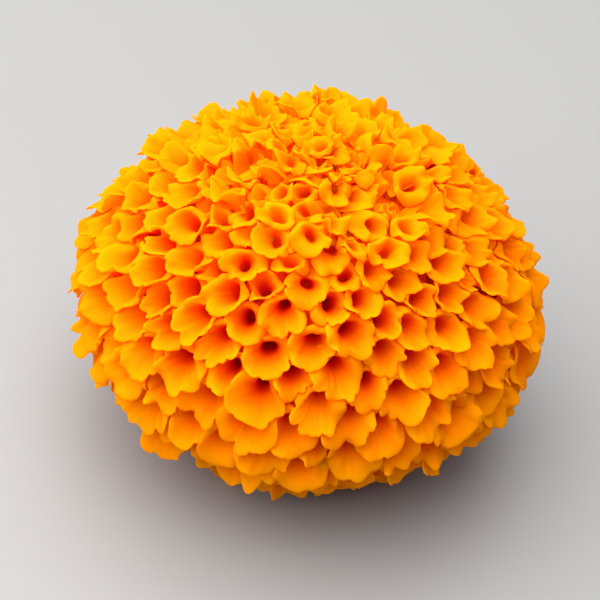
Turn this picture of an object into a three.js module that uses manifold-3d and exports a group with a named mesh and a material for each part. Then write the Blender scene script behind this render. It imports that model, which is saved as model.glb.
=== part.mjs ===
// A double African marigold, snapped off just under its calyx and set down face up.
// The flower is a ball of trumpet florets. They grow in golden angle spirals on a domed core,
// fan out from its heart, and the lowest lie pressed on the surface, so the ball rests on them.
// Underneath, in the hollow that the lowest florets leave, the green calyx holds the core's neck,
// and a short stub of the swollen stem runs down from it to the cut.
// Millimetres, +Z up. The origin is on the surface, under the middle of the flower.
import * as THREE from "three";
import { mergeVertices } from "three/addons/utils/BufferGeometryUtils.js";
import Module from "manifold-3d";

const wasm = await Module();
wasm.setup();

// Driving dimensions, in millimetres
const HEAD_RADIUS = 47.5;
const HEAD_HEIGHT = 67;
const HEART_HEIGHT = 26;
const CALYX_RADIUS = 11.6;
const CALYX_HEIGHT = 17;
const STEM_RADIUS = 3.1;
const STEM_TOP_RADIUS = 4.5;
const STEM_LENGTH = 6;
const CUT_HEIGHT = 1.5;
const FIT_GAP = 0.3;

const MOUTH_RADIUS = HEAD_RADIUS - 0.4;
const STEM_TOP = CUT_HEIGHT + STEM_LENGTH;
const CALYX_BASE = STEM_TOP + FIT_GAP;
const CALYX_RIM = CALYX_BASE + CALYX_HEIGHT;
const CALYX_WAIST = CALYX_BASE + 9.5;
const CALYX_FLOOR = CALYX_BASE + 5;
const GOLDEN_ANGLE = Math.PI * (3 - Math.sqrt(5));

// A repeatable random number from 0 to 1, one stream for the whole flower.
function randomStream(seed) {
  let state = seed;
  return () => {
    state = (Math.imul(state, 1664525) + 1013904223) >>> 0;
    return state / 4294967296;
  };
}
const random = randomStream(1753);
const jitter = (amount) => (random() * 2 - 1) * amount;

// Solids go to manifold-3d and back as plain position meshes.
function toSolid(geometry) {
  const bare = geometry.clone();
  bare.deleteAttribute("normal");
  bare.deleteAttribute("uv");
  const merged = mergeVertices(bare, 1e-4);
  return new wasm.Manifold(
    new wasm.Mesh({
      numProp: 3,
      vertProperties: merged.attributes.position.array,
      triVerts: new Uint32Array(merged.index.array),
    }),
  );
}

function toGeometry(solid) {
  const { vertProperties, triVerts } = solid.getMesh();
  const geometry = new THREE.BufferGeometry();
  geometry.setAttribute("position", new THREE.BufferAttribute(vertProperties, 3));
  geometry.setIndex(new THREE.BufferAttribute(triVerts, 1));
  geometry.computeVertexNormals();
  return geometry;
}

// A body of rings: each ring is a loop of points, joined to the next, and both ends are flat caps.
// A ring may hold a whole multiple of the points of the one before it, or the other way round.
function ringBody(rings) {
  const points = rings.flat();
  const starts = rings.map((_, ring) => rings.slice(0, ring).flat().length);
  const index = [];
  for (let ring = 0; ring + 1 < rings.length; ring++) {
    const [a, b] = [rings[ring].length, rings[ring + 1].length];
    const most = Math.max(a, b);
    for (let side = 0; side < most; side++) {
      const [a0, a1] = [side, side + 1].map((n) => starts[ring] + (Math.floor((n * a) / most) % a));
      const [b0, b1] = [side, side + 1].map((n) => starts[ring + 1] + (Math.floor((n * b) / most) % b));
      if (a0 !== a1) index.push(a0, a1, b1);
      if (b0 !== b1) index.push(a0, b1, b0);
    }
  }
  const last = starts.at(-1);
  for (let side = 1; side + 1 < rings[0].length; side++) index.push(0, side + 1, side);
  for (let side = 1; side + 1 < rings.at(-1).length; side++) index.push(last, last + side, last + side + 1);
  return new THREE.BufferGeometry().setFromPoints(points).setIndex(index);
}

// A ring of points round the +Z axis, each at the radius and height that the shape gives its angle.
function levelRing(sides, shape) {
  return Array.from({ length: sides }, (_, corner) => {
    const angle = (corner / sides) * 2 * Math.PI;
    const [radius, height] = shape(angle);
    return new THREE.Vector3(radius * Math.cos(angle), radius * Math.sin(angle), height);
  });
}

// The ball that the florets' mouths lie on, as radius and rise from the heart at an angle from the crown.
// Above the heart it is a dome. Below, its sides draw in more like a cone, down to the surface.
const LAST_POLAR = THREE.MathUtils.degToRad(145);
const CROWN_REACH = HEAD_HEIGHT - HEART_HEIGHT;
const TAPER = 1.3;
const SKIRT_REACH = HEART_HEIGHT / Math.abs(Math.cos(LAST_POLAR)) ** TAPER;
function canopyPoint(polar) {
  const [across, along] = [Math.sin(polar), Math.cos(polar)];
  return along > 0
    ? new THREE.Vector2(MOUTH_RADIUS * across, CROWN_REACH * along)
    : new THREE.Vector2(MOUTH_RADIUS * across ** TAPER, -SKIRT_REACH * Math.abs(along) ** TAPER);
}

// The way that runs down the ball there.
const NUDGE = 0.02;
const canopySlope = (polar) => canopyPoint(polar + NUDGE).sub(canopyPoint(polar - NUDGE)).normalize();

// Florets stand closest on the crown, where they open last, and widest on the skirt.
const CROWN_SPACING = 8;
const SKIRT_SPACING = 14;
const WIDEST_POLAR = THREE.MathUtils.degToRad(120);
const HEXAGON_SHARE = Math.sqrt(3) / 2;
const spacingAt = (polar) =>
  THREE.MathUtils.lerp(CROWN_SPACING, SKIRT_SPACING, THREE.MathUtils.smoothstep(polar, 0, WIDEST_POLAR));

// Golden angle spirals: walking down the ball, a floret is sown each time its own area has passed.
function floretPlaces() {
  const places = [];
  const step = 0.001;
  let sown = 0;
  for (let polar = 0; polar < LAST_POLAR; polar += step) {
    const here = canopyPoint(polar);
    const spacing = spacingAt(polar);
    const band = 2 * Math.PI * here.x * here.distanceTo(canopyPoint(polar + step));
    sown += band / (HEXAGON_SHARE * spacing ** 2);
    if (sown > places.length + 0.5) places.push(floretPlace(polar, places.length * GOLDEN_ANGLE, spacing));
  }
  return places;
}

// Tubes fan out from the heart; those of the skirt leave it at the rim of the calyx.
const ROOT_RING = 10;
const ROOT_TURN = Math.PI / 3;

// A floret's mouth, its tube's line out to it, the way its limb faces, square to the ball there,
// and the way its long outer lip points, down the ball and away from the crown.
function floretPlace(polar, azimuth, spacing) {
  const { x: radius, y: rise } = canopyPoint(polar);
  const onBall = (distance, height) =>
    new THREE.Vector3(distance * Math.cos(azimuth), distance * Math.sin(azimuth), height);
  const mouth = onBall(radius, HEART_HEIGHT + rise);
  const slope = canopySlope(polar);
  const outer = onBall(slope.x, slope.y);
  const facing = onBall(-slope.y, slope.x);
  const side = new THREE.Vector3().crossVectors(facing, outer);
  const root = onBall(ROOT_RING * THREE.MathUtils.smoothstep(polar, ROOT_TURN, LAST_POLAR), HEART_HEIGHT);
  const tube = mouth.clone().sub(root);
  return { mouth, tube, facing, outer, side, spacing };
}

// How far a limb can spread from its mouth in one direction before it meets the nearest neighbour's.
const WIDEST_LIMB = 0.62;
const SIDEWAYS = 0.2;
function roomTowards(place, direction, places) {
  const ways = places.map((other) => {
    const apart = other.mouth.clone().sub(place.mouth);
    const along = apart.dot(direction);
    return along > SIDEWAYS * apart.length() ? apart.lengthSq() / (2 * along) : Infinity;
  });
  return Math.min(place.spacing * WIDEST_LIMB, ...ways);
}

// One floret: a narrow tube out of the core that flares into a waved limb. The outer lip is longer,
// and lifted over the next florets down; the inner lip is tucked under the ones above.
const TUBE_SIDES = 3;
const LIMB_SIDES = 6;
const TUBE_RADIUS = 2.7;
const THROAT_RADIUS = 1.5;
const PIT_RADIUS = 1.2;
const PIT_DEPTH = 3;
const WAIST_DEPTH = 4;
const LIMB_THICKNESS = 0.8;
const LIMB_SHARE = 0.95;
const LONG_LIP = 0.35;
const LIP_LIFT = 1.7;
const WAVE = 0.7;
const UNEVEN = 0.15;
const ROOT_SHARE = 0.55;

function floret(place, _, places) {
  const { mouth, tube, facing, outer, side } = place;
  const ring = (sides, shape) =>
    Array.from({ length: sides }, (_, corner) => {
      const angle = (corner / sides) * 2 * Math.PI;
      const direction = outer.clone().multiplyScalar(Math.cos(angle)).addScaledVector(side, Math.sin(angle));
      const { radius, rise } = shape(angle, direction);
      return mouth.clone().addScaledVector(direction, radius).addScaledVector(facing, rise);
    });
  const tubeRing = (radius, rise) => ring(TUBE_SIDES, () => ({ radius, rise }));
  const lip = (angle) => LIMB_SHARE + LONG_LIP * Math.max(0, Math.cos(angle)) ** 3;
  const front = ring(LIMB_SIDES, (angle, direction) => ({
    radius: roomTowards(place, direction, places) * lip(angle),
    rise: LIP_LIFT * (Math.cos(angle) - 1) - WAVE * Math.cos((angle * LIMB_SIDES) / 2) + jitter(UNEVEN),
  })).map(bentBack);
  const back = front.map((point) => point.clone().addScaledVector(facing, -LIMB_THICKNESS));
  const toRoot = tube.clone().multiplyScalar(ROOT_SHARE - 1);
  const root = tubeRing(TUBE_RADIUS, 0).map((point) => point.add(toRoot));
  const waist = tubeRing(TUBE_RADIUS, -WAIST_DEPTH);
  const throat = tubeRing(THROAT_RADIUS, LIMB_THICKNESS - WAIST_DEPTH);
  const downTube = toRoot.clone().addScaledVector(facing, WAIST_DEPTH).setLength(PIT_DEPTH);
  const pit = tubeRing(PIT_RADIUS, -WAIST_DEPTH).map((point) => point.add(downTube));
  return toSolid(ringBody([root, waist, back, front, throat, pit]));
}

// Lips that would reach past the head's girth or through the surface are bent back to it.
const PRESSED = 0.5;
function bentBack(point) {
  const inward = Math.min(1, HEAD_RADIUS / Math.hypot(point.x, point.y));
  return point.set(point.x * inward, point.y * inward, Math.max(point.z, -PRESSED));
}

// The neck's outline, as radius and height, from the floor of the calyx to just below its teeth.
const TOOTH_HEIGHT = 4.5;
const TOOTH_FOOT = CALYX_RIM - TOOTH_HEIGHT;
const NECK_RADIUS = 9.8;
const NECK_OUTLINE = [
  [6.6, CALYX_FLOOR],
  [8.6, CALYX_WAIST],
  [NECK_RADIUS, TOOTH_FOOT - 1],
];

// The core is the packed florets' bases: a ball with a recess below for the calyx, and a neck in it.
const CORE_SHARE = 0.8;
const CORE_SEGMENTS = 15;
const CORE_DEGREES = [140, 120, 95, 62, 30, 0];
const RECESS_OUTLINE = [
  [CALYX_RADIUS + 1.8, CALYX_RIM + 0.5],
  [CALYX_RADIUS + 2.6, CALYX_RIM - 13],
];
function coreSolid() {
  const onCore = (degrees) => {
    const point = canopyPoint(THREE.MathUtils.degToRad(degrees)).multiplyScalar(CORE_SHARE);
    return [point.x, HEART_HEIGHT + point.y];
  };
  const profile = [
    [0, CALYX_FLOOR + FIT_GAP],
    ...NECK_OUTLINE.map(([radius, height]) => [radius, height + FIT_GAP]),
    [NECK_RADIUS, CALYX_RIM + 1.5],
    ...RECESS_OUTLINE,
    ...CORE_DEGREES.map(onCore),
  ].map(([radius, height]) => new THREE.Vector2(radius, height));
  return toSolid(new THREE.LatheGeometry(profile, CORE_SEGMENTS).rotateX(Math.PI / 2));
}

// The calyx: bracts grown together into a ribbed green cup, with one pointed tooth to each bract.
const BRACTS = 10;
const BRACT_SIDES = 4;
const RIB = 0.35;
const CALYX_OUTLINE = [
  [STEM_TOP_RADIUS + 0.1, CALYX_BASE],
  [7.8, CALYX_BASE + 2],
  [10, CALYX_BASE + 5.5],
  [10.9, CALYX_WAIST],
  [CALYX_RADIUS, TOOTH_FOOT - 1],
];
function calyxGeometry() {
  const ring = (shape) => levelRing(BRACTS * BRACT_SIDES, shape);
  const rib = (angle) => RIB * Math.cos(BRACTS * angle);
  const tooth = (angle) => TOOTH_HEIGHT * (1 - Math.acos(Math.cos(BRACTS * angle)) / Math.PI);
  const outside = CALYX_OUTLINE.map(([radius, height]) => ring((angle) => [radius + rib(angle), height]));
  const rim = [CALYX_RADIUS, NECK_RADIUS + FIT_GAP].map((radius) =>
    ring((angle) => [radius, TOOTH_FOOT + tooth(angle)]),
  );
  const inside = NECK_OUTLINE.map(([radius, height]) => ring(() => [radius + FIT_GAP, height]));
  return ringBody([...outside, ...rim, ...inside.reverse()]);
}

// The stub of stem swells towards the calyx, with shallow grooves down it, and ends in a square cut.
const GROOVES = 8;
const GROOVE_SIDES = 4;
const GROOVE_DEPTH = 0.22;
const STEM_LEVELS = 3;
function stemGeometry() {
  const groove = (angle) => GROOVE_DEPTH * Math.cos(GROOVES * angle);
  const rings = Array.from({ length: STEM_LEVELS + 1 }, (_, level) => {
    const share = level / STEM_LEVELS;
    const radius = THREE.MathUtils.lerp(STEM_RADIUS, STEM_TOP_RADIUS, share ** 2);
    return levelRing(GROOVES * GROOVE_SIDES, (angle) => [
      radius + groove(angle),
      CUT_HEIGHT + share * STEM_LENGTH,
    ]);
  });
  return ringBody(rings);
}

const florets = floretPlaces().map(floret);
const bloomSolid = wasm.Manifold.union([coreSolid(), ...florets]).trimByPlane([0, 0, 1], 0);

const material = (color, roughness) => new THREE.MeshStandardMaterial({ color, roughness, metalness: 0 });
const petalOrange = material(0xff9a0c, 0.55);
const calyxGreen = material(0x6f9440, 0.6);
const stemGreen = material(0x5c8438, 0.6);

function piece(name, geometry, finish) {
  const mesh = new THREE.Mesh(geometry, finish);
  mesh.name = name;
  return mesh;
}

const flower = new THREE.Group();
flower.add(piece("bloom", toGeometry(bloomSolid), petalOrange));
flower.add(piece("calyx", calyxGeometry(), calyxGreen));
flower.add(piece("stem", stemGeometry(), stemGreen));

export default flower;
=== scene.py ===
# A double marigold head, picked just under its calyx and resting face up on its lowest florets.
import math
import bpy
import numpy as np
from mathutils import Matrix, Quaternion, Vector


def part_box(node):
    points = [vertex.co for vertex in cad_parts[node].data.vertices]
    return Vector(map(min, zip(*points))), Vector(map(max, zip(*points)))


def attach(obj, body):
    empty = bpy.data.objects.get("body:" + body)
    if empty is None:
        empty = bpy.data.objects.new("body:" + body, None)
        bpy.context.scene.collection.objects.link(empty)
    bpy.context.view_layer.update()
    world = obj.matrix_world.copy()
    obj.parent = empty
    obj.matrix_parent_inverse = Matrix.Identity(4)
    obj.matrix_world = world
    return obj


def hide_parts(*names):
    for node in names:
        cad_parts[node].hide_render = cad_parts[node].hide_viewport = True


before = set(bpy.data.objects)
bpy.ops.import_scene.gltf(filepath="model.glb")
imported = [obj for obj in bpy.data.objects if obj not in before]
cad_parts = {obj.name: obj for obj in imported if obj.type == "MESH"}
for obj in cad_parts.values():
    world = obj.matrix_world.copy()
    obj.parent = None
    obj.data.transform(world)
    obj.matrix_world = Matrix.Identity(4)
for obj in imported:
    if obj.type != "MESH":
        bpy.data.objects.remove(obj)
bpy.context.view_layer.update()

# The stem
# A short stub of the grooved green stalk, which swells towards the calyx. It was snapped off, so its
# end is a rough ring of rind and pith round a hollow.
MM = 0.001
stem_low, stem_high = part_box("stem")
STEM_GROOVES = 8
SEGMENTS_PER_GROOVE = 16
STEM_RINGS = 48
GROOVE_SHARE = 0.05
TEAR = 0.14 * MM
TORN_END = 0.5 * MM
RIND_RADIUS = 3.2 * MM
PITH_RADIUS = 1.9 * MM
HOLLOW_RADIUS = 0.9 * MM
stem_knots = [
    (0.5 * MM, stem_low.z + 1.6 * MM),
    (HOLLOW_RADIUS, stem_low.z + 1.2 * MM),
    (HOLLOW_RADIUS + 0.15 * MM, stem_low.z + 0.35 * MM),
    (PITH_RADIUS, stem_low.z + 0.2 * MM),
    (2.7 * MM, stem_low.z + 0.08 * MM),
    (3.15 * MM, stem_low.z + 0.35 * MM),
    (RIND_RADIUS, stem_low.z + 1.5 * MM),
    (3.5 * MM, stem_low.z + 3.5 * MM),
    (4.45 * MM, stem_high.z - 0.4 * MM),
    (4.3 * MM, stem_high.z),
    (2 * MM, stem_high.z),
]
CURVE_STEPS = 20


def smooth_outline(knots, count):
    """Evenly spaced points on a curve that runs through the knots."""
    knots = np.array(knots)
    before_first = 2 * knots[0] - knots[1]
    after_last = 2 * knots[-1] - knots[-2]
    padded = np.concatenate([[before_first], knots, [after_last]])
    t = np.linspace(0, 1, CURVE_STEPS, endpoint=False)[:, None]
    points = []
    for first in range(len(knots) - 1):
        a, b, c, d = padded[first : first + 4]
        bend = (2 * a - 5 * b + 4 * c - d) * t**2
        turn_back = (3 * b - a - 3 * c + d) * t**3
        points.append(0.5 * (2 * b + (c - a) * t + bend + turn_back))
    points = np.concatenate([*points, knots[-1:]])
    walked = np.append(0, np.cumsum(np.linalg.norm(np.diff(points, axis=0), axis=1)))
    even = np.linspace(0, walked[-1], count)
    return np.stack([np.interp(even, walked, points[:, axis]) for axis in (0, 1)], 1)


def lathe_mesh(name, outline, segments, shape):
    """A closed body round the axis. The outline gives radius and height, and shape moves each ring."""
    turn = np.arange(segments) / segments * 2 * np.pi
    rings = []
    for share, (radius, height) in zip(np.linspace(0, 1, len(outline)), outline):
        ring_radius, ring_height = shape(share, radius, height, turn)
        ring_height = np.broadcast_to(ring_height, turn.shape)
        rings.append(np.stack([ring_radius * np.cos(turn), ring_radius * np.sin(turn), ring_height], 1))
    ring, step = np.meshgrid(np.arange(len(rings) - 1), np.arange(segments), indexing="ij")
    here = ring * segments + step
    beside = ring * segments + (step + 1) % segments
    quads = np.stack([here, beside, beside + segments, here + segments], -1).reshape(-1, 4)
    first_cap = np.arange(segments)[::-1]
    last_cap = (len(rings) - 1) * segments + np.arange(segments)
    faces = [*quads.tolist(), first_cap.tolist(), last_cap.tolist()]
    mesh = bpy.data.meshes.new(name)
    mesh.from_pydata(np.concatenate(rings), [], faces)
    mesh.shade_smooth()
    return mesh


def smoothstep(low, high, value):
    """From 0 at the low value to 1 at the high one, levelling off at both."""
    share = np.clip((value - low) / (high - low), 0, 1)
    return share * share * (3 - 2 * share)


def grooved(share, radius, height, turn):
    """Grooves down the rind, and a torn end."""
    rind = smoothstep(2.4 * MM, RIND_RADIUS, radius)
    groove = GROOVE_SHARE * np.cos(STEM_GROOVES * turn + 0.3) * rind
    torn = TEAR * (np.sin(5 * turn + 1) + np.sin(11 * turn)) * (height < stem_low.z + TORN_END)
    return radius * (1 + groove), np.clip(height + torn, stem_low.z, stem_high.z)


def set_stops(ramp, stops):
    """Gives a colour ramp its stops, each a position and a colour."""
    elements = ramp.color_ramp.elements
    elements.remove(elements[-1])
    for number, (position, color) in enumerate(stops):
        stop = elements.new(position) if number else elements[0]
        stop.position = position
        stop.color = (*color, 1)


def plant_streaks():
    """Mottled streaks up the plant, from 0 to 1."""
    group = bpy.data.node_groups.new("plant_streaks", "ShaderNodeTree")
    group.interface.new_socket(name="Streaks per metre", in_out="INPUT", socket_type="NodeSocketFloat")
    group.interface.new_socket(name="Streaks", in_out="OUTPUT", socket_type="NodeSocketFloat")
    nodes = group.nodes
    links = group.links
    given = nodes.new("NodeGroupInput")
    put_out = nodes.new("NodeGroupOutput")
    place = nodes.new("ShaderNodeTexCoord")
    along = nodes.new("ShaderNodeMapping")
    along.inputs["Scale"].default_value = (1, 1, 0.12)
    links.new(place.outputs["Object"], along.inputs["Vector"])
    noise = nodes.new("ShaderNodeTexNoise")
    noise.inputs["Detail"].default_value = 3
    links.new(along.outputs["Vector"], noise.inputs["Vector"])
    links.new(given.outputs["Streaks per metre"], noise.inputs["Scale"])
    links.new(noise.outputs["Fac"], put_out.inputs["Streaks"])
    return group


streaks_group = plant_streaks()


def streaked_material(name, color, dark, streaks_per_metre):
    """Smooth plant tissue with fine darker streaks up it. Gives the material, its shader and its colour
    ramp."""
    material = bpy.data.materials.new(name)
    material.use_nodes = True
    nodes = material.node_tree.nodes
    links = material.node_tree.links
    shader = nodes["Principled BSDF"]
    shader.inputs["Roughness"].default_value = 0.5
    shader.inputs["Specular IOR Level"].default_value = 0.3
    streaks = nodes.new("ShaderNodeGroup")
    streaks.node_tree = streaks_group
    streaks.inputs["Streaks per metre"].default_value = streaks_per_metre
    ramp = nodes.new("ShaderNodeValToRGB")
    set_stops(ramp, [(0.35, dark), (0.62, color)])
    links.new(streaks.outputs["Streaks"], ramp.inputs["Fac"])
    links.new(ramp.outputs["Color"], shader.inputs["Base Color"])
    bump = nodes.new("ShaderNodeBump")
    bump.inputs["Strength"].default_value = 0.25
    bump.inputs["Distance"].default_value = 0.2 * MM
    links.new(streaks.outputs["Streaks"], bump.inputs["Height"])
    links.new(bump.outputs["Normal"], shader.inputs["Normal"])
    return material, shader, ramp


def place_piece(mesh, node):
    """Puts a mesh in the scene as a piece that stands for a node of the frame."""
    piece = bpy.data.objects.new(mesh.name, mesh)
    bpy.context.scene.collection.objects.link(piece)
    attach(piece, "root")
    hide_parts(node)


stem_outline = smooth_outline(stem_knots, STEM_RINGS)
stem_mesh = lathe_mesh("stem_stub", stem_outline, STEM_GROOVES * SEGMENTS_PER_GROOVE, grooved)
stem_green, _, _ = streaked_material("stem_green", (0.15, 0.29, 0.05), (0.1, 0.21, 0.03), 1800)
stem_mesh.materials.append(stem_green)
place_piece(stem_mesh, "stem")

# The calyx
# Bracts grown together into a ribbed green cup, with a pointed tooth to each bract. It is smooth and
# a little waxy, dotted with the oil glands that give the marigold its smell.
calyx_low, calyx_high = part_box("calyx")
BRACTS = 10
SEGMENTS_PER_BRACT = 24
CALYX_RINGS = 34
TOOTH_HEIGHT = 4.5 * MM
NOTCH_RISE = 0.1 * MM
RIB_RISE = 0.26 * MM
SEAM_DEPTH = 0.4 * MM
RIPPLE = 0.05 * MM
RIM_CURL = 0.35 * MM
FOOT_FADE = 2.5 * MM
WALL = 0.9 * MM
CUP_FLOOR_POINT = 10
tooth_foot = calyx_high.z - TOOTH_HEIGHT
outside_knots = [
    (4.4 * MM, calyx_low.z),
    (7.7 * MM, calyx_low.z + 2 * MM),
    (9.9 * MM, calyx_low.z + 5.5 * MM),
    (10.9 * MM, calyx_low.z + 9.5 * MM),
    (11.6 * MM, tooth_foot),
    (11.5 * MM, calyx_high.z),
]

# The inside follows the outside, a wall's thickness in, down to the cup's floor.
calyx_outside = smooth_outline(outside_knots, CALYX_RINGS)
calyx_inside = calyx_outside[: CUP_FLOOR_POINT - 1 : -1] - [WALL, 0]
cup_floor = (3 * MM, calyx_inside[-1][1] - 0.3 * MM)


def ribbed(share, radius, height, turn):
    """Ribs down each bract, grooves where two have grown together, and the teeth at the rim."""
    from_middle = np.abs(np.angle(np.exp(1j * BRACTS * turn))) / np.pi
    tooth = tooth_foot + TOOTH_HEIGHT * (1 - from_middle) ** 1.25 * 0.98 + NOTCH_RISE
    level = np.minimum(height, tooth)
    rib = RIB_RISE * np.exp(-((from_middle / 0.16) ** 2))
    seam = SEAM_DEPTH * np.exp(-(((1 - from_middle) / 0.1) ** 2))
    ripple = RIPPLE * np.sin(7 * turn + 900 * height) * np.sin(3 * turn - 500 * height)
    curl = RIM_CURL * smoothstep(tooth_foot, calyx_high.z, level)
    fade = smoothstep(calyx_low.z, calyx_low.z + FOOT_FADE, height)
    return radius + (rib - seam + ripple) * fade + curl, level


calyx_outline = np.concatenate([calyx_outside, calyx_inside, [cup_floor]])
calyx_mesh = lathe_mesh("calyx_cup", calyx_outline, BRACTS * SEGMENTS_PER_BRACT, ribbed)
calyx_green, calyx_shader, calyx_color = streaked_material(
    "calyx_green", (0.12, 0.26, 0.03), (0.07, 0.18, 0.018), 1400
)

# The oil glands are dark dots, one to each cell of a pattern that is drawn out up the cup.
GLANDS_PER_METRE = (620, 620, 330)
calyx_nodes = calyx_green.node_tree.nodes
calyx_links = calyx_green.node_tree.links
surface_place = calyx_nodes.new("ShaderNodeTexCoord")
stretch = calyx_nodes.new("ShaderNodeMapping")
stretch.inputs["Scale"].default_value = GLANDS_PER_METRE
calyx_links.new(surface_place.outputs["Object"], stretch.inputs["Vector"])
glands = calyx_nodes.new("ShaderNodeTexVoronoi")
glands.inputs["Scale"].default_value = 1
calyx_links.new(stretch.outputs["Vector"], glands.inputs["Vector"])
gland_spots = calyx_nodes.new("ShaderNodeMapRange")
gland_spots.inputs["From Min"].default_value = 0.2
gland_spots.inputs["From Max"].default_value = 0.12
calyx_links.new(glands.outputs["Distance"], gland_spots.inputs["Value"])
spotted = calyx_nodes.new("ShaderNodeMix")
spotted.data_type = "RGBA"
spotted.inputs["B"].default_value = (0.035, 0.06, 0.008, 1)
calyx_links.new(gland_spots.outputs["Result"], spotted.inputs["Factor"])
calyx_links.new(calyx_color.outputs["Color"], spotted.inputs["A"])
calyx_links.new(spotted.outputs["Result"], calyx_shader.inputs["Base Color"])
calyx_mesh.materials.append(calyx_green)
place_piece(calyx_mesh, "calyx")

# The domed base
# The florets' lower tubes are packed into a dome of soft tissue, with a neck that sits in the calyx.
# It is fluted where the tubes lie side by side, and seen only from below and deep between florets.
head_low, head_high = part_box("bloom")
HEAD_RADIUS = (head_high.x - head_low.x) / 2
HEAD_HEIGHT = head_high.z - head_low.z
HEART_HEIGHT = 26 * MM
LIP_STAND = 1.2 * MM
MOUTH_RADIUS = HEAD_RADIUS - LIP_STAND
CROWN_REACH = HEAD_HEIGHT - HEART_HEIGHT - LIP_STAND
LAST_POLAR = math.radians(145)
TAPER = 1.3
SKIRT_REACH = HEART_HEIGHT / abs(math.cos(LAST_POLAR)) ** TAPER


def canopy(polar):
    """Distance from the axis and rise above the heart of the ball that the mouths lie on, at an angle
    from the crown: a dome above the heart, and sides that draw in like a cone below it."""
    across = np.sin(polar)
    along = np.cos(polar)
    above = along > 0
    steep = np.abs(along) ** TAPER
    radius = MOUTH_RADIUS * np.where(above, across, np.abs(across) ** TAPER)
    return radius, np.where(above, CROWN_REACH * along, -SKIRT_REACH * steep)


DOME_SHARES = {84: 0.78, 66: 0.78, 46: 0.78, 26: 0.84, 8: 0.88}
dome_radius, dome_rise = canopy(np.radians(list(DOME_SHARES)))
dome_share = np.array(list(DOME_SHARES.values()))[:, None]
dome_knots = np.stack([dome_radius, dome_rise], 1) * dome_share + [0, HEART_HEIGHT]
base_knots = [
    (2.5 * MM, calyx_low.z + 5.5 * MM),
    (6.5 * MM, calyx_low.z + 6.2 * MM),
    (8.4 * MM, calyx_low.z + 9.5 * MM),
    (9.3 * MM, calyx_high.z - 3 * MM),
    (9.9 * MM, calyx_high.z + 0.5 * MM),
    (13.5 * MM, calyx_high.z + 3.5 * MM),
    (24 * MM, calyx_high.z + 4.5 * MM),
    (32 * MM, calyx_high.z + 3.5 * MM),
    *dome_knots,
]
FLUTES = 48
SEGMENTS_PER_FLUTE = 4
BASE_RINGS = 44
FLUTE_SHARE = 0.05


def fluted(share, radius, height, turn):
    """Flutes that wind a little round the dome."""
    flute = np.abs(np.sin(FLUTES / 2 * turn + 3 * share)) ** 0.7
    return radius * (1 + FLUTE_SHARE * (flute - 0.6)), height


base_outline = smooth_outline(base_knots, BASE_RINGS)
base_mesh = lathe_mesh("domed_base", base_outline, FLUTES * SEGMENTS_PER_FLUTE, fluted)
base_tissue, base_shader, _ = streaked_material(
    "floret_tubes", (1.0, 0.3, 0.002), (0.98, 0.18, 0.0), 900
)
base_shader.inputs["Roughness"].default_value = 0.7
base_shader.inputs["Specular IOR Level"].default_value = 0.1
base_mesh.materials.append(base_tissue)
place_piece(base_mesh, "bloom")

# The florets
# A marigold's head is a ball of trumpet florets, sown in golden angle spirals on the domed base.
# Those on the crown open last and stand closest; those of the skirt are the oldest and widest.
GOLDEN_ANGLE = math.pi * (3 - math.sqrt(5))
HEXAGON_SHARE = math.sqrt(3) / 2
CROWN_SPACING = 3.4 * MM
SKIRT_SPACING = 7.9 * MM
SOWING_STEPS = 8000
FIRST_POLAR = 0.02
STRAY_SHARE = 0.3
CLOSEST_SHARE = 0.86
PUSH_SHARE = 0.35
PUSH_ROUNDS = 8
NEAR_AXIS = 3 * MM
up = np.array([0, 0, 1.0])
random_florets = np.random.default_rng(31)


def spacing_at(polar):
    """How far apart the mouths stand at an angle from the crown."""
    return CROWN_SPACING + (SKIRT_SPACING - CROWN_SPACING) * np.sin(np.minimum(polar, math.pi / 2))


def away_from_axis(azimuth):
    """Level directions away from the axis, at angles round it."""
    return np.stack([np.cos(azimuth), np.sin(azimuth), 0 * azimuth], 1)


def sow_florets():
    """Angle from the crown and angle round it of each mouth. One is sown each time its area has passed.
    All are moved a little at random, and then those that stand too close push each other apart."""
    walk = np.linspace(0, LAST_POLAR, SOWING_STEPS)
    radius, rise = canopy(walk)
    step = np.hypot(np.gradient(radius), np.gradient(rise))
    sown = np.cumsum(2 * np.pi * radius * step / (HEXAGON_SHARE * spacing_at(walk) ** 2))
    number = np.arange(int(sown[-1]))
    itself = np.eye(len(number))
    polar = np.interp(number + 0.5, sown, walk)
    azimuth = number * GOLDEN_ANGLE
    move = STRAY_SHARE * spacing_at(polar) * random_florets.uniform(-1, 1, size=(2, len(number)))
    for _ in range(PUSH_ROUNDS):
        radius, _ = canopy(polar)
        polar = np.clip(polar + move[0] / MOUTH_RADIUS, FIRST_POLAR, LAST_POLAR)
        azimuth = azimuth + move[1] / np.maximum(radius, NEAR_AXIS)
        radius, rise = canopy(polar)
        away = away_from_axis(azimuth)
        spot = away * radius[:, None] + np.outer(rise, up)
        apart = spot[:, None] - spot[None]
        distance = np.linalg.norm(apart, axis=-1) + itself
        wanted = CLOSEST_SHARE * spacing_at(polar)[:, None]
        crowding = np.maximum(wanted / distance - 1, 0) * (1 - itself)
        push = PUSH_SHARE * np.sum(apart * crowding[..., None], axis=1)
        down = away * np.cos(polar)[:, None] - np.outer(np.sin(polar), up)
        move = np.stack([np.sum(push * down, 1), np.sum(push * np.cross(up, away), 1)])
    return polar, azimuth


floret_polar, floret_azimuth = sow_florets()
floret_degrees = np.degrees(floret_polar)
FLORETS = len(floret_polar)
spacing = spacing_at(floret_polar)
crownness = 1 - smoothstep(12, 48, floret_degrees)
skirtness = smoothstep(55, 95, floret_degrees)
away = away_from_axis(floret_azimuth)
mouth_radius, mouth_rise = canopy(floret_polar)
mouth = away * mouth_radius[:, None] + up * (HEART_HEIGHT + mouth_rise)[:, None]
rank = random_florets.uniform(-1.4, 1.4, size=FLORETS)


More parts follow.
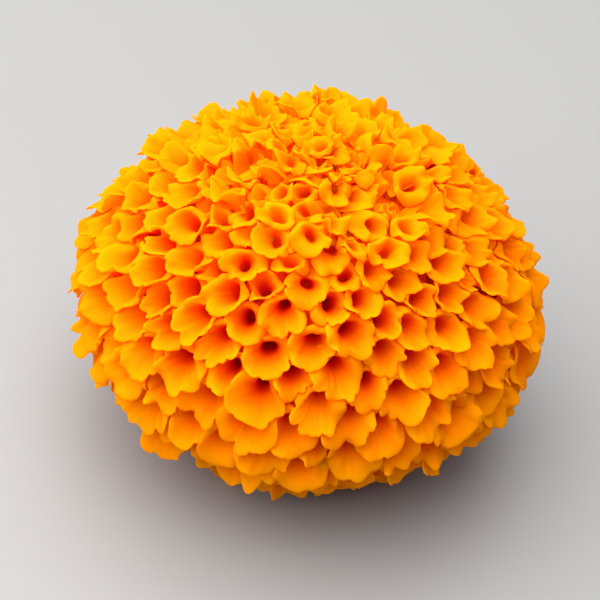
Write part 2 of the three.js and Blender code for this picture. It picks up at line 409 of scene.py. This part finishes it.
def at_degrees(values):
    """A value for each floret, from the values given at some angles from the crown."""
    return np.interp(floret_degrees, list(values), list(values.values()))


def unit(vectors):
    """The same directions, each with a length of 1."""
    return vectors / np.linalg.norm(vectors, axis=-1, keepdims=True)


# Each limb lies along the ball but for a small lean, and hangs over more and more below the shoulder.
# It has a long outer lip that points down the ball. On the crown the lips point every way. A limb of
# high rank stands prouder, and the flank's limbs are set back, where the head draws in.
HANG_FROM = 60
NUDGE = 0.03
FLANK_SET_BACK = 2.9 * MM
above_radius, above_rise = canopy(floret_polar - NUDGE)
below_radius, below_rise = canopy(floret_polar + NUDGE)
slope_angle = np.arctan2(above_rise - below_rise, below_radius - above_radius)
hang_angle = np.radians(at_degrees({0: 0, HANG_FROM: 57, 90: 93, 110: 116, 130: 137, 145: 152}))
tilt = np.where(floret_degrees < HANG_FROM, slope_angle, hang_angle)
ball_normal = away * np.sin(tilt)[:, None] + up * np.cos(tilt)[:, None]
down_ball = away * np.cos(tilt)[:, None] - up * np.sin(tilt)[:, None]
round_ball = np.cross(ball_normal, down_ball)
lean = random_florets.normal(size=(2, FLORETS)) * (0.1 + 0.24 * crownness)
facing = unit(ball_normal + down_ball * lean[0][:, None] + round_ball * lean[1][:, None])
roll = random_florets.normal(size=FLORETS) * (0.2 + 1.2 * crownness)
outer = down_ball * np.cos(roll)[:, None] + round_ball * np.sin(roll)[:, None]
outer = unit(outer - facing * np.sum(outer * facing, axis=-1, keepdims=True))
side = np.cross(facing, outer)
stand = rank * (0.07 + 0.04 * crownness - 0.04 * skirtness) * spacing
on_flank = smoothstep(1.2, 1.75, floret_polar) * (1 - smoothstep(2.2, 2.5, floret_polar))
mouth = mouth + ball_normal * (stand - FLANK_SET_BACK * on_flank)[:, None]

# The throats turn further down than the limbs do.
THROAT_TURN = math.radians(14)
throat_turn = THROAT_TURN * np.sin(np.minimum(floret_polar * 2, math.pi / 2)) * (1 - 0.5 * skirtness)
throat_way = facing + down_ball * np.tan(throat_turn)[:, None]

# Where two florets meet, the one nearer the crown lies over the one further down, unless the lower
# one stands much prouder. On the crown they lie over each other more as their ranks have it.
crown_walk = np.linspace(0, LAST_POLAR, 400)
rows = np.gradient(crown_walk) * MOUTH_RADIUS / spacing_at(crown_walk)
row_weight = np.where(crown_walk < math.radians(35), 0.7, 2)
rows_down = np.interp(floret_polar, crown_walk, np.cumsum(rows * row_weight))
standing = 0.7 * rank - rows_down


def smooth_round(values):
    """Each value drawn halfway to the mean of the two beside it round the limb."""
    return values / 2 + (np.roll(values, 1, axis=-1) + np.roll(values, -1, axis=-1)) / 4


# A limb spreads as far as the florets round it let it, further over those that it laps, and a little
# way under those that lap it, but not as far as their throats. Its outer lip is the longest, and has
# the closest segments. Its hand over another is 1 where it lies over it, and -1 where it lies under.
SEGMENTS = 44
NEIGHBOURS_WITHIN = 3.2
FACING_SHARE = 0.25
UNDERLAP = 0.15
THROAT_ROOM = 0.42
LEAST_REACH = 0.3
SHARPNESS = 6.0
SMOOTH_ROUNDS = 3
even_turn = np.arange(SEGMENTS) / SEGMENTS * 2 * np.pi
theta = even_turn - 0.4 * np.sin(even_turn)
outward = 0.5 + 0.5 * np.cos(theta)
directions = (
    outer[:, None] * np.cos(theta)[None, :, None] + side[:, None] * np.sin(theta)[None, :, None]
)
overlap = at_degrees({0: 1, 30: 0.9, 42: 0.45, 55: 0.5, 70: 1.15})
room = np.zeros((FLORETS, SEGMENTS))
lapping = np.zeros((FLORETS, SEGMENTS))
for floret in range(FLORETS):
    apart = mouth - mouth[floret]
    distance = np.linalg.norm(apart, axis=1)
    others = np.flatnonzero((distance > 0) & (distance < NEIGHBOURS_WITHIN * spacing[floret]))
    distance = distance[others][:, None]
    along = apart[others] @ directions[floret].T
    faces = along > FACING_SHARE * distance
    half_way = np.where(faces, distance**2 / (2 * np.where(faces, along, 1)), 1)
    hand = np.tanh(standing[floret] - standing[others])[:, None]
    beyond_half = np.where(hand > 0, 1 + overlap[floret] * hand, 1 - UNDERLAP * hand)
    reach = half_way * beyond_half / spacing[floret]
    short_of_throat = (distance / spacing[floret] - THROAT_ROOM) * 2 * half_way / distance
    reach = np.where(hand > 0, reach, np.minimum(reach, short_of_throat))
    nearness = np.where(faces, np.maximum(reach, LEAST_REACH) ** -SHARPNESS, 0)
    widest = (0.67 + 0.15 * np.cos(theta) + 0.17 * np.sin(theta) ** 2) * (1 + 0.1 * rank[floret])
    total = nearness.sum(0) + widest**-SHARPNESS
    room[floret] = spacing[floret] * total ** (-1 / SHARPNESS)
    lapping[floret] = (nearness * hand).sum(0) / total
for _ in range(SMOOTH_ROUNDS):
    room = smooth_round(room)


def draw(low, high):
    """A random value for each floret."""
    return random_florets.uniform(low, high, size=(FLORETS, 1))


def draw_phase():
    """A random start for each floret's waves, anywhere in a turn."""
    return draw(0, 6.3)


# The margin is scalloped, and a few notches cut the outer lip into rounded lobes, each with a crease
# running up from it. Ruffles run down from the margin and fade towards the throat. Each notch has its
# place round the lip and the most that it strays, in radians, and its greatest depth.
NOTCHES = ((-0.6, 0.2, 0.36), (0.6, 0.2, 0.36), (0.0, 0.4, 0.2), (1.3, 0.4, 0.28), (-1.3, 0.4, 0.28))
size = spacing[:, None]
crown = crownness[:, None]
skirt = skirtness[:, None]
warp = theta + 0.3 * np.sin(theta + draw_phase()) + 0.2 * np.sin(2 * theta + draw_phase())
scallop = np.abs(np.sin(np.round(draw(2.6, 5.4)) * warp + draw(0, 3.1)))
margin = room * (1 - draw(0.02, 0.12) * (1 - scallop**0.6) * (0.4 + 0.6 * outward))
crease = 0
for place, stray, deepest in NOTCHES:
    from_notch = np.abs(np.angle(np.exp(1j * (theta - place - stray * draw(-1, 1)))))
    notch = from_notch / draw(0.07, 0.16)
    depth = np.maximum(draw(-0.06, deepest), 0) * (1 - 0.5 * crown)
    margin = margin * (1 - depth * np.exp(-(notch**1.2)))
    crease = crease + depth * np.exp(-((notch / 1.8) ** 2)) * size * 0.8
teeth = np.abs(np.sin(draw(5.5, 8.5) * warp + draw_phase()))
margin = margin * (1 - draw(0.02, 0.07) * (1 - teeth) * outward * (1 - 0.7 * crown))
waves = (
    np.sin(2 * warp + draw_phase()) * draw(0.2, 1)
    + np.sin(3 * warp + draw_phase()) * draw(0.3, 1)
    + np.sin(5 * warp + draw_phase()) * draw(0.3, 1.1)
    + np.sin(8 * warp + draw_phase()) * draw(0.1, 0.5) * (1 - 0.8 * crown)
)
ruffle = waves * size * (0.1 + 0.085 * crown)

# The trumpet flares from a narrow throat, and its margin rolls back, by more degrees in some places
# than in others. Its outer lip stands out.
throat = size * draw(0.17, 0.21) * (1 + (0.14 + 0.2 * crown) * np.cos(2 * theta + draw_phase()))
flare_depth = size * draw(0.62, 0.9) * (1 - 0.2 * crown)
roll_back = np.radians(
    110 + 14 * crown + (16 + 10 * crown) * draw(-1, 1) - 20 * outward - (18 + 2 * crown) * waves
)
lift = size * np.where(lapping > 0, 0.1, 0.16) * lapping
lip_rise = size * draw(0.04, 0.2) * outward**1.5 * (1 - 0.5 * crown)
FLARE_STEPS = 36
flare_steps = np.linspace(0, 1, FLARE_STEPS)
turned = roll_back[..., None] * flare_steps**0.85
out_walk = np.cumsum(np.sin(turned), axis=-1) - np.sin(turned[..., :1])
up_walk = np.cumsum(np.cos(turned), axis=-1) - np.cos(turned[..., :1])
out_share = out_walk / out_walk[..., -1:]
top = up_walk.max(axis=-1, keepdims=True)
fall = (top - up_walk) / out_walk[..., -1:] * (margin - throat)[..., None]
past_top = turned > np.pi / 2
flare_height = np.where(past_top, -fall, flare_depth[..., None] * (up_walk / top - 1))

LIMB_RINGS = 11
limb_shares = np.arange(LIMB_RINGS) / (LIMB_RINGS - 1)
ring_steps = np.round(limb_shares * (FLARE_STEPS - 1)).astype(int)
spread = out_share[..., ring_steps].transpose(0, 2, 1)
share = limb_shares[:, None]
limb_radii = throat[:, None] + (margin - throat)[:, None] * spread
limb_heights = flare_height[..., ring_steps].transpose(0, 2, 1) + lift[:, None] * spread
limb_heights += lip_rise[:, None] * spread**1.5 + ruffle[:, None] * share**2.2
limb_heights -= crease[:, None] * share * (1.3 - share)

# Every limb presses down those that it laps over, so that none comes through another, and stops them
# short of its own tube. The one that stands highest comes first.
PETAL_THICKNESS = 0.28 * MM
CLEARANCE = PETAL_THICKNESS + 0.45 * MM
PRESS_ROUNDS = 3
PRESS_WITHIN = 2.6
LEAST_AGREEMENT = 0.5
PAST_MARGIN = 1.7
ROOF_SLOPE = 1.2
TUBE_ROOM = 1.25
STOP_SHORT = 0.06
SHORTEST = 0.1
NOT_STOPPED = 1


def place_rings(floret, radius, height):
    """Points of rings round each floret's mouth; below it the rings follow the turn of the throat."""
    return (
        mouth[floret][:, None, None]
        + directions[floret][:, None] * radius[..., None]
        + facing[floret][:, None, None] * np.maximum(height, 0)[..., None]
        + throat_way[floret][:, None, None] * np.minimum(height, 0)[..., None]
    )


def roof_of(floret, radius, column):
    """Height of a floret's limb at distances from its axis and columns round it, with the radii of its
    throat and margin there. Over the throat the roof is level, and past the margin it climbs."""
    before = column.astype(int) % SEGMENTS
    after = (before + 1) % SEGMENTS
    blend = column - column.astype(int)
    radii = limb_radii[floret][:, before] * (1 - blend) + limb_radii[floret][:, after] * blend
    heights = limb_heights[floret][:, before] * (1 - blend) + limb_heights[floret][:, after] * blend
    roof = heights[-1] + (radius - radii[-1]) * ROOF_SLOPE
    for ring in range(LIMB_RINGS - 1):
        inside = (radius >= radii[ring]) & (radius < radii[ring + 1])
        step = (radius - radii[ring]) / np.maximum(radii[ring + 1] - radii[ring], 1e-6)
        slab = heights[ring] + (heights[ring + 1] - heights[ring]) * step
        roof = np.where(inside, slab, roof)
    return np.where(radius < radii[0], heights[0], roof), radii[0], radii[-1]


def broaden(press):
    """Carries a press on to the places beside it, so that a limb gives way in broad soft folds."""
    most_beside = np.maximum(np.roll(press, 1, axis=-1), np.roll(press, -1, axis=-1))
    return smooth_round(np.maximum(press, most_beside))


wrapped_theta = np.append(theta, 2 * np.pi)
for floret in np.argsort(-standing):
    distance = np.linalg.norm(mouth - mouth[floret], axis=1)
    near = (distance > 0) & (distance < PRESS_WITHIN * spacing[floret])
    others = np.flatnonzero(near & (standing < standing[floret]))
    agreement = np.maximum(facing[others] @ facing[floret], LEAST_AGREEMENT)[:, None, None]
    for _ in range(PRESS_ROUNDS):
        offset = place_rings(others, limb_radii[others], limb_heights[others]) - mouth[floret]
        level = offset @ facing[floret]
        below = np.minimum(level, 0) / (throat_way[floret] @ facing[floret])
        offset = offset - throat_way[floret] * below[..., None]
        across = offset @ outer[floret]
        along = offset @ side[floret]
        radius = np.hypot(across, along)
        turn = np.arctan2(along, across) % (2 * np.pi)
        column = np.interp(turn, wrapped_theta, np.arange(SEGMENTS + 1))
        roof, throat_there, margin_there = roof_of(floret, radius, column)
        excess = level - (roof - CLEARANCE)
        pressed = (radius < PAST_MARGIN * margin_there) & (excess > 0)
        limb_heights[others] -= broaden(np.where(pressed, excess, 0) / agreement)
        in_tube = radius < TUBE_ROOM * throat_there
        stopped = np.where(in_tube, limb_radii[others], NOT_STOPPED).min(axis=1, keepdims=True)
        innermost = limb_radii[others][:, :1]
        length = limb_radii[others][:, -1:] - innermost
        stopped_at = (stopped - innermost) / length - STOP_SHORT * (stopped < NOT_STOPPED)
        shorter = 1 - broaden(1 - np.clip(stopped_at, SHORTEST, 1))
        limb_radii[others] = innermost + (limb_radii[others] - innermost) * shorter
all_florets = np.arange(FLORETS)
limb = place_rings(all_florets, limb_radii, limb_heights)
limb[..., 2] = np.maximum(limb[..., 2], 0)

# The thickness is laid on square to the limb.
round_way = np.roll(limb, -1, axis=2) - np.roll(limb, 1, axis=2)
out_way = np.gradient(limb, axis=1)
square = unit(np.cross(out_way, round_way))
backs = limb - square * PETAL_THICKNESS
rim = limb[:, -1] - square[:, -1] * PETAL_THICKNESS / 2 + unit(out_way[:, -1]) * PETAL_THICKNESS / 2

# The tube bends from the throat to its root: in the domed base, or at the calyx for the skirt.
TUBE_RINGS = 3
TUBE_TAPER = 0.45
ROOT_RADIUS = 8.6 * MM
ROOT_STAGGER = 0.8 * MM
ROOT_RISE = 0.5 * MM
WAY_TO_HEART = 0.42
root_ring = (ROOT_RADIUS + ROOT_STAGGER * rank)[:, None]
under_skirt = smoothstep(math.radians(78), math.radians(112), floret_polar)[:, None]
waist = mouth - throat_way * flare_depth
heart = np.array([0, 0, HEART_HEIGHT])
calyx_root = away * root_ring + up * (calyx_high.z + ROOT_RISE)
root = (mouth + (heart - mouth) * WAY_TO_HEART) * (1 - under_skirt) + calyx_root * under_skirt
length = np.linalg.norm(waist - root, axis=1, keepdims=True)
bend_out = waist - facing * length * 0.35
bend_in = root + unit(away + up * 0.5) * length * 0.4 * under_skirt
tube = []
for ring in range(1, TUBE_RINGS + 1):
    share = ring / TUBE_RINGS
    centre = (
        waist * (1 - share) ** 3
        + bend_out * 3 * share * (1 - share) ** 2
        + bend_in * 3 * share**2 * (1 - share)
        + root * share**3
    )
    tube_radius = (throat + PETAL_THICKNESS) * (1 - TUBE_TAPER * share)
    tube.append(centre[:, None] + directions * tube_radius[..., None])

# Each floret is one closed shell: up the inside from the pit to the margin, over it, and down the
# outside to the root. With each ring goes its place in the colour from the pit, 0, to the margin, 1;
# the dark red of the pit and throat is painted shade.
UNDER_RINGS = [LIMB_RINGS - 1, 7, 3, 0]
PIT_RADII = np.array([0.72, 0.9])[:, None]
PIT_DEPTHS = np.array([0.5, 0.25])[:, None]
PIT_PLACES = [0, 0.15]
THROAT_PLACE = 0.3
RIM_PLACE = 1
UNDER_PLACES = [1, 0.85, 0.65, 0.55]
TUBE_PLACES = [0.55] * TUBE_RINGS
pit_depth = size * (1 - 0.5 * crown - 0.6 * skirt)
pit_heights = limb_heights[:, :1] - pit_depth[:, None] * PIT_DEPTHS
pits = place_rings(all_florets, throat[:, None] * PIT_RADII, pit_heights)
petal_points = np.concatenate([pits, limb, rim[:, None], backs[:, UNDER_RINGS], np.stack(tube, 1)], 1)
limb_places = THROAT_PLACE + (1 - THROAT_PLACE) * limb_shares
ring_places = np.array([*PIT_PLACES, *limb_places, RIM_PLACE, *UNDER_PLACES, *TUBE_PLACES])
# By place on the head: the colours run deeper red towards the bottom as painted shade, and paler on the
# crown, partly as the younger florets' own paler throats and partly as painted light that lifts the
# shade in the cavities there.
throat_depth_with_painted_shade = at_degrees({0: 0.8, 28: 0.6, 48: 1.1, 70: 0.9, 95: 0.75, 125: 2.2})
pit_place = 0.4 * (1 - smoothstep(0.45, 0.85, floret_polar))[:, None]
floret_places = pit_place + (1 - pit_place) * ring_places ** throat_depth_with_painted_shade[:, None]

# What would reach past the head's girth or through the surface is pressed back to it.
SOFT_REACH = 1 * MM
girth = np.linalg.norm(petal_points[..., :2], axis=-1, keepdims=True)
beyond = np.maximum(girth - HEAD_RADIUS + SOFT_REACH, 0)
petal_points[..., :2] *= 1 - (beyond - SOFT_REACH * np.tanh(beyond / SOFT_REACH)) / girth
petal_points[..., 2] = np.maximum(petal_points[..., 2], 0)

MAP_EDGE = 0.01


def petal_mesh(name, chosen):
    """One mesh of closed floret shells. Its map holds each floret's number plus a share of a turn, and
    the place from pit to margin."""
    rings = len(ring_places)
    ring, turn = np.meshgrid(np.arange(rings - 1), np.arange(SEGMENTS), indexing="ij")
    ring_corners = np.stack([ring, ring, ring + 1, ring + 1], -1).reshape(-1, 4)
    turn_corners = np.stack([turn + 1, turn, turn, turn + 1], -1).reshape(-1, 4)
    corners = ring_corners * SEGMENTS + turn_corners % SEGMENTS
    first = np.arange(len(chosen)) * rings * SEGMENTS
    quads = (corners[None] + first[:, None, None]).reshape(-1, 4)
    pit_cap = np.arange(SEGMENTS)
    root_cap = (rings - 1) * SEGMENTS + np.arange(SEGMENTS)[::-1]
    caps = [(cap + start).tolist() for start in first for cap in (pit_cap, root_cap)]
    mesh = bpy.data.meshes.new(name)
    mesh.from_pydata(petal_points[chosen].reshape(-1, 3), [], quads.tolist() + caps)
    share_of_turn = turn_corners / SEGMENTS * (1 - 2 * MAP_EDGE) + MAP_EDGE
    map_u = (share_of_turn + chosen[:, None, None]).reshape(-1)
    map_v = floret_places[chosen][:, ring_corners].reshape(-1)
    cap_u = np.repeat(chosen + 0.5, 2 * SEGMENTS)
    cap_v = np.repeat(floret_places[chosen][:, [0, -1]], SEGMENTS)
    corner_map = np.stack([np.append(map_u, cap_u), np.append(map_v, cap_v)], 1)
    mesh.uv_layers.new(name="petal").data.foreach_set("uv", corner_map.ravel().astype(np.float32))
    mesh.shade_smooth()
    return mesh


# From pit to margin. The dark red at the pit and in the throat is painted shade; the gold at the margin
# is partly the petal's own colour and partly a painted highlight.
PETAL_COLORS_AND_PAINTED_SHADE = [
    (0.0, (0.5, 0.01, 0.0)),
    (0.25, (0.98, 0.073, 0.0)),
    (0.4, (1.0, 0.165, 0.0)),
    (0.58, (1.0, 0.285, 0.0)),
    (0.8, (1.0, 0.4, 0.0)),
    (1.0, (1.0, 0.48, 0.0)),
]
VEINS_AROUND = 42
TINT_RANGE = 0.1
VEIN_RANGE = 0.1


def petal_material():
    """Velvety petal: deep red painted shade in the pit and throat, orange on the limb, and gold at the
    margin that is partly the petal's own colour and partly a painted highlight, with fine veins and a
    tint of its own for each floret. Light that falls on one side glows through on the other."""
    material = bpy.data.materials.new("petal")
    material.use_nodes = True
    nodes = material.node_tree.nodes
    links = material.node_tree.links

    def math_node(operation, *values):
        node = nodes.new("ShaderNodeMath")
        node.operation = operation
        for socket, value in zip(node.inputs, values):
            if isinstance(value, bpy.types.NodeSocket):
                links.new(value, socket)
            else:
                socket.default_value = value
        return node.outputs["Value"]

    petal_map = nodes.new("ShaderNodeUVMap")
    petal_map.uv_map = "petal"
    split = nodes.new("ShaderNodeSeparateXYZ")
    links.new(petal_map.outputs["UV"], split.inputs["Vector"])
    along_veins = nodes.new("ShaderNodeMapping")
    along_veins.inputs["Scale"].default_value = (VEINS_AROUND, 0.9, 1)
    links.new(petal_map.outputs["UV"], along_veins.inputs["Vector"])
    veins = nodes.new("ShaderNodeTexNoise")
    veins.noise_dimensions = "2D"
    veins.inputs["Scale"].default_value = 1
    veins.inputs["Detail"].default_value = 2
    links.new(along_veins.outputs["Vector"], veins.inputs["Vector"])
    floret_tint = nodes.new("ShaderNodeTexWhiteNoise")
    floret_tint.noise_dimensions = "1D"
    links.new(math_node("FLOOR", split.outputs["X"]), floret_tint.inputs["W"])
    tinted = math_node("MULTIPLY_ADD", floret_tint.outputs["Value"], TINT_RANGE, split.outputs["Y"])
    veined = math_node("MULTIPLY_ADD", veins.outputs["Fac"], VEIN_RANGE, tinted)
    place = math_node("SUBTRACT", veined, (TINT_RANGE + VEIN_RANGE) / 2)
    ramp = nodes.new("ShaderNodeValToRGB")
    set_stops(ramp, PETAL_COLORS_AND_PAINTED_SHADE)
    links.new(place, ramp.inputs["Fac"])

    shader = nodes["Principled BSDF"]
    shader.inputs["Roughness"].default_value = 0.65
    shader.inputs["Specular IOR Level"].default_value = 0.02
    links.new(ramp.outputs["Color"], shader.inputs["Base Color"])
    bump = nodes.new("ShaderNodeBump")
    bump.inputs["Strength"].default_value = 0.35
    bump.inputs["Distance"].default_value = 0.15 * MM
    links.new(veins.outputs["Fac"], bump.inputs["Height"])
    links.new(bump.outputs["Normal"], shader.inputs["Normal"])
    glow = nodes.new("ShaderNodeBsdfTranslucent")
    links.new(ramp.outputs["Color"], glow.inputs["Color"])
    mix = nodes.new("ShaderNodeMixShader")
    mix.inputs["Fac"].default_value = 0.62
    links.new(shader.outputs["BSDF"], mix.inputs[1])
    links.new(glow.outputs["BSDF"], mix.inputs[2])
    links.new(mix.outputs["Shader"], nodes["Material Output"].inputs["Surface"])
    return material


# The florets make six tiers, each one mesh, between these angles from the crown.
TIERS = {
    "crown": (0, 33),
    "shoulder": (33, 52),
    "side": (52, 70),
    "girth": (70, 90),
    "flank": (90, 118),
    "skirt": (118, 180),
}
petal = petal_material()
for tier, (first_degree, last_degree) in TIERS.items():
    chosen = np.flatnonzero((floret_degrees >= first_degree) & (floret_degrees < last_degree))
    tier_mesh = petal_mesh(f"florets_{tier}", chosen)
    tier_mesh.materials.append(petal)
    place_piece(tier_mesh, "bloom")

# The camera
# It looks at the head from the front and 39 degrees above, as the photograph does. There the flower
# leans a little to the right, so the camera is rolled as much to the left.
view_elevation = math.radians(39)
view_roll = math.radians(7.5)
view_distance = 0.45
scene = bpy.context.scene
camera_data = bpy.data.cameras.new("camera")
camera = bpy.data.objects.new("camera", camera_data)
scene.collection.objects.link(camera)
back = Vector((0, -math.cos(view_elevation), math.sin(view_elevation)))
image_up = Vector((0, math.sin(view_elevation), math.cos(view_elevation)))
aim = Vector((-1.5 * MM, 0, HEART_HEIGHT)) + image_up * 2.1 * MM
camera.location = aim + back * view_distance
camera.rotation_mode = "QUATERNION"
camera.rotation_quaternion = (-back).to_track_quat("-Z", "Y") @ Quaternion((0, 0, 1), view_roll)
camera_data.sensor_width = 36
camera_data.lens = 135.5
scene.camera = camera
scene.view_settings.view_transform = "Standard"

# The floor and the light
# A plain pale floor under an even pale sky, and one large soft lamp above the head, a little to its
# left.
floor_corners = [(-2, -2, 0), (2, -2, 0), (2, 2, 0), (-2, 2, 0)]
floor_mesh = bpy.data.meshes.new("floor")
floor_mesh.from_pydata(floor_corners, [], [(0, 1, 2, 3)])
floor = bpy.data.objects.new("floor", floor_mesh)
scene.collection.objects.link(floor)
floor_material = bpy.data.materials.new("floor")
floor_material.use_nodes = True
floor_shader = floor_material.node_tree.nodes["Principled BSDF"]
floor_shader.inputs["Base Color"].default_value = (0.22, 0.217, 0.21, 1)
floor_mesh.materials.append(floor_material)

world = bpy.data.worlds.new("studio")
world.use_nodes = True
sky = world.node_tree.nodes["Background"]
sky.inputs["Color"].default_value = (0.9, 0.95, 1.0, 1)
sky.inputs["Strength"].default_value = 0.5
scene.world = world
lamp_data = bpy.data.lights.new("softbox", "AREA")
lamp_data.size = 2.2
lamp_data.energy = 68
lamp = bpy.data.objects.new("softbox", lamp_data)
lamp.location = (-0.4, -0.04, 0.95)
lamp.rotation_mode = "QUATERNION"
lamp.rotation_quaternion = (aim - lamp.location).to_track_quat("-Z", "Y")
scene.collection.objects.link(lamp)
